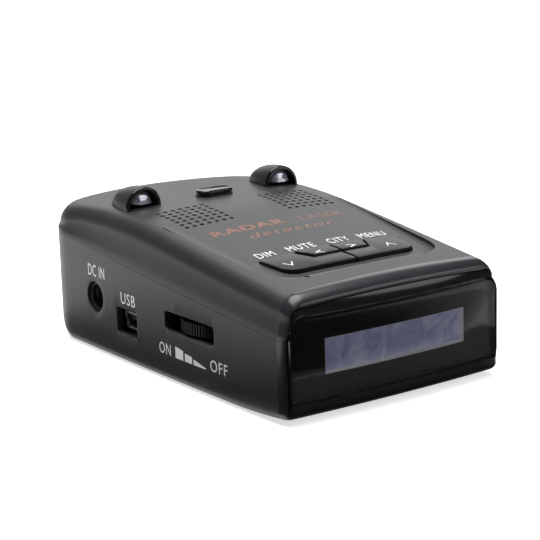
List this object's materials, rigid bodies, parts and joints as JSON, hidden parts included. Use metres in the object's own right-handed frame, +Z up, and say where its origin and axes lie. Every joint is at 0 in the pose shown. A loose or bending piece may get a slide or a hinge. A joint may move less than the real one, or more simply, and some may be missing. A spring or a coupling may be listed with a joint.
{
  "type": "radar detector",
  "caption": "Dashboard radar detector: wedge-shaped casing with a smoked display window, control keys, alert domes, side sockets, a volume wheel and a bracket release.",
  "frame": {"origin": "under the middle of the object, at the bottom of its bounding box", "axes": "-Y is the display end that faces the driver, +Y the windshield end, -X the side with the sockets and the volume wheel, +Z up"},
  "size_m": [0.0612, 0.11, 0.0406],
  "materials": {
    "soft_black": "soft-touch black",
    "gloss_black": "polished black",
    "inner_black": "moulded black",
    "smoked_lens": "smoked clear acrylic",
    "clear_lens": "clear acrylic",
    "screen_film": "lavender protective film",
    "circuit_board": "green solder mask",
    "component_black": "moulded epoxy",
    "tin_plate": "tin plated",
    "die_cast": "die cast, satin",
    "steel": "zinc plated",
    "ceramic": "unglazed ceramic",
    "speaker_paper": "treated paper",
    "label_grey": "printed label film",
    "red_filter": "dark red filter"
  },
  "bodies": {
    "casing": {"top_cover": "soft_black", "bottom_cover": "soft_black", "left_dome_hood": "soft_black", "right_dome_hood": "soft_black", "display_bezel": "gloss_black", "left_dome_ring": "gloss_black", "right_dome_ring": "gloss_black", "display_window": "smoked_lens", "display_holder": "inner_black", "display_film": "screen_film", "display_panel": "clear_lens", "display_board": "circuit_board", "key_board": "circuit_board", "main_board": "circuit_board", "tact_switch_dim": "steel", "tact_switch_mute": "steel", "tact_switch_city": "steel", "tact_switch_menu": "steel", "ribbon_cable": "label_grey", "left_alert_crystal": "clear_lens", "right_alert_crystal": "clear_lens", "left_alert_led": "component_black", "right_alert_led": "component_black", "release_spring": "steel", "bracket_guide": "inner_black", "volume_pot": "component_black", "dc_jack_housing": "inner_black", "dc_jack_pin": "tin_plate", "usb_shell": "tin_plate", "usb_tongue": "inner_black", "horn_antenna": "die_cast", "laser_window": "red_filter", "laser_lens_holder": "inner_black", "laser_lens": "clear_lens", "laser_sensor": "component_black", "gps_antenna": "ceramic", "processor_shield": "tin_plate", "backup_battery": "steel", "speaker_frame": "component_black", "speaker_cone": "speaker_paper", "speaker_magnet": "steel", "case_screw_1": "steel", "case_screw_2": "steel", "case_screw_3": "steel", "case_screw_4": "steel", "rating_label": "label_grey"},
    "key_dim": {"key_dim": "gloss_black"},
    "key_mute": {"key_mute": "gloss_black"},
    "key_city": {"key_city": "gloss_black"},
    "key_menu": {"key_menu": "gloss_black"},
    "release": {"release_button": "gloss_black", "release_catch": "inner_black"},
    "volume": {"volume_wheel": "inner_black", "volume_shaft": "steel"}
  },
  "joints": [
    {"name": "key_dim_press", "type": "slide", "parent": "casing", "child": "key_dim", "axis": [0, 0.1517, -0.9884], "range_m": [0, 0.0004], "stiffness_N_per_m": 800},
    {"name": "key_mute_press", "type": "slide", "parent": "casing", "child": "key_mute", "axis": [0, 0.1517, -0.9884], "range_m": [0, 0.0004], "stiffness_N_per_m": 800},
    {"name": "key_city_press", "type": "slide", "parent": "casing", "child": "key_city", "axis": [0, 0.1517, -0.9884], "range_m": [0, 0.0004], "stiffness_N_per_m": 800},
    {"name": "key_menu_press", "type": "slide", "parent": "casing", "child": "key_menu", "axis": [0, 0.1517, -0.9884], "range_m": [0, 0.0004], "stiffness_N_per_m": 800},
    {"name": "release_press", "type": "slide", "parent": "casing", "child": "release", "axis": [0, 0, -1], "range_m": [0, 0.0016], "stiffness_N_per_m": 1500, "deforming": ["release_spring"]},
    {"name": "volume_turn", "type": "hinge", "parent": "casing", "child": "volume", "pos_m": [-0.0202, -0.0171, 0.0144], "axis": [0, 0, 1], "range_deg": [-140, 140]}
  ]
}
